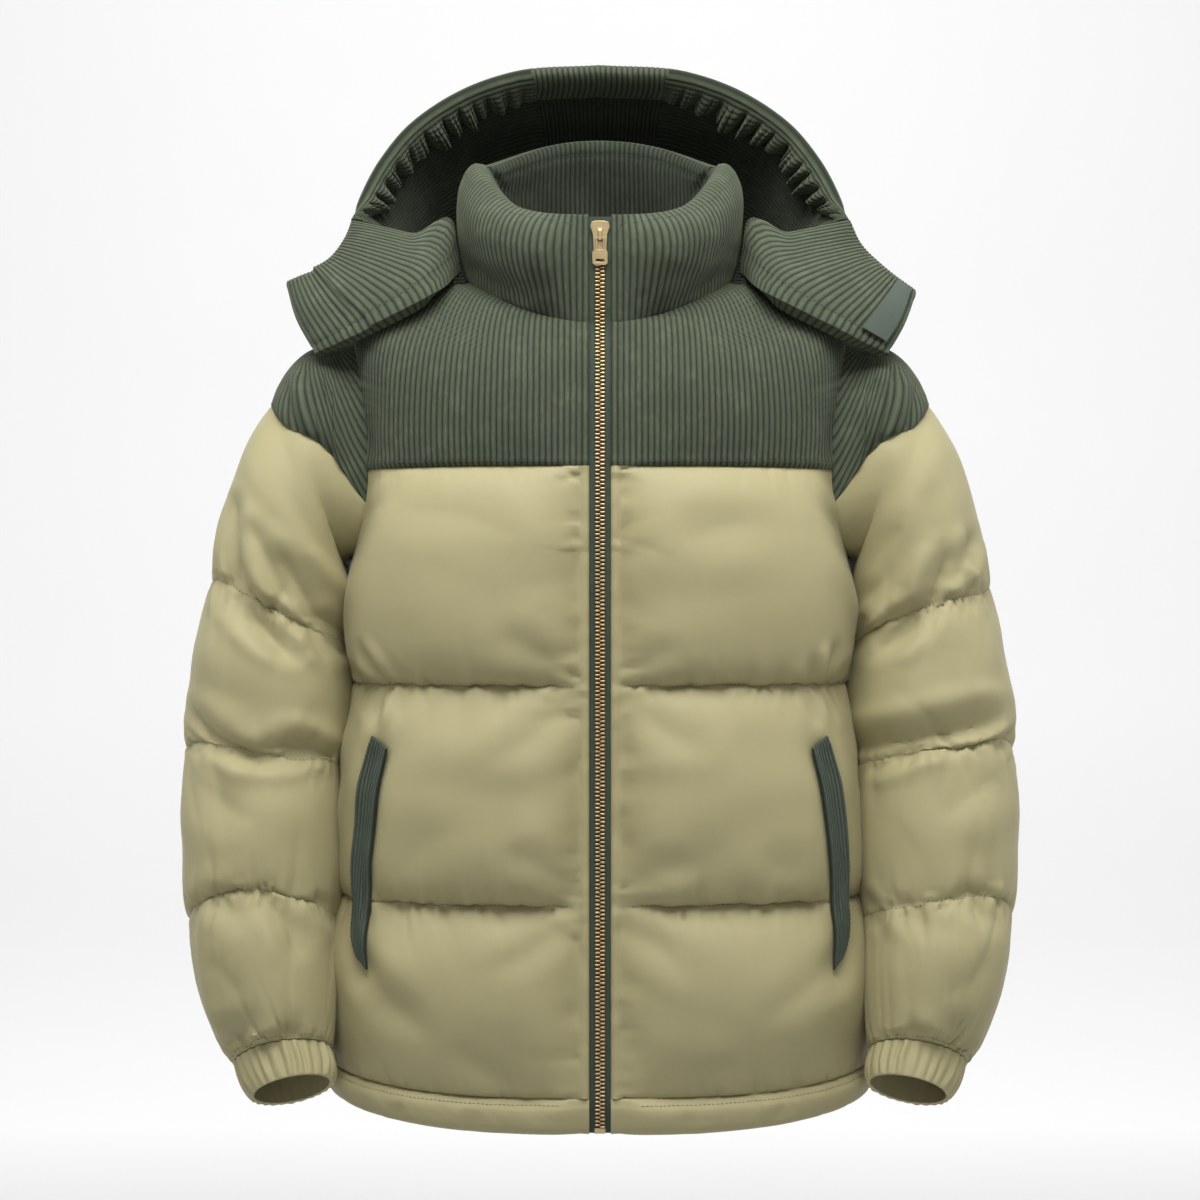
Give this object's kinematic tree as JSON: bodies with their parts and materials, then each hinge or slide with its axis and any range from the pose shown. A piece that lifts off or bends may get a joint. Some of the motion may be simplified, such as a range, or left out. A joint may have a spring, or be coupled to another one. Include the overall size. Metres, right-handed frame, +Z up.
{
  "type": "hooded quilted jacket",
  "caption": "Hooded quilted jacket filled out as worn: padded body and sleeves, corduroy yokes, collar and hood, gathered cuffs, pocket welts and a front zip.",
  "frame": {"origin": "level with the side points of the neck seam, midway between front and back and between left and right, where a wearer's neck passes", "axes": "+Z up, -Y the front with the zip, +X the wearer's left"},
  "size_m": [0.653, 0.3467, 0.843],
  "materials": {
    "shell": "sage-khaki plain weave, padded and quilted",
    "corduroy": "dark green corduroy with wales about 4.5 mm apart",
    "tape": "woven zip tape",
    "patch": "smooth hook-and-loop tape",
    "teeth": "bright brass teeth",
    "slider": "antique brass"
  },
  "bodies": {
    "jacket": {"front_right": "shell", "front_left": "shell", "back": "shell", "hem": "shell", "sleeve_upper_right": "shell", "sleeve_upper_left": "shell", "sleeve_lower_right": "shell", "sleeve_lower_left": "shell", "cuff_right": "shell", "cuff_left": "shell", "yoke_front_right": "corduroy", "yoke_front_left": "corduroy", "yoke_back": "corduroy", "sleeve_cap_right": "corduroy", "sleeve_cap_left": "corduroy", "collar": "corduroy", "hood_centre": "corduroy", "hood_side_right": "corduroy", "hood_side_left": "corduroy", "hood_rim": "corduroy", "hood_tab_right": "corduroy", "hood_tab_left": "corduroy", "welt_right": "corduroy", "welt_left": "corduroy", "zip_tape": "tape", "hook_patch": "patch", "zip_chain": "teeth", "zip_bottom_stop": "teeth", "zip_slider": "slider"},
    "pull_tab": {"zip_pull_tab": "slider"}
  },
  "joints": [
    {"name": "pull_tab_swing", "type": "hinge", "parent": "jacket", "child": "pull_tab", "pos_m": [0, -0.1006, 0.0214], "axis": [-1, 0, 0], "range_deg": [0, 160]}
  ]
}
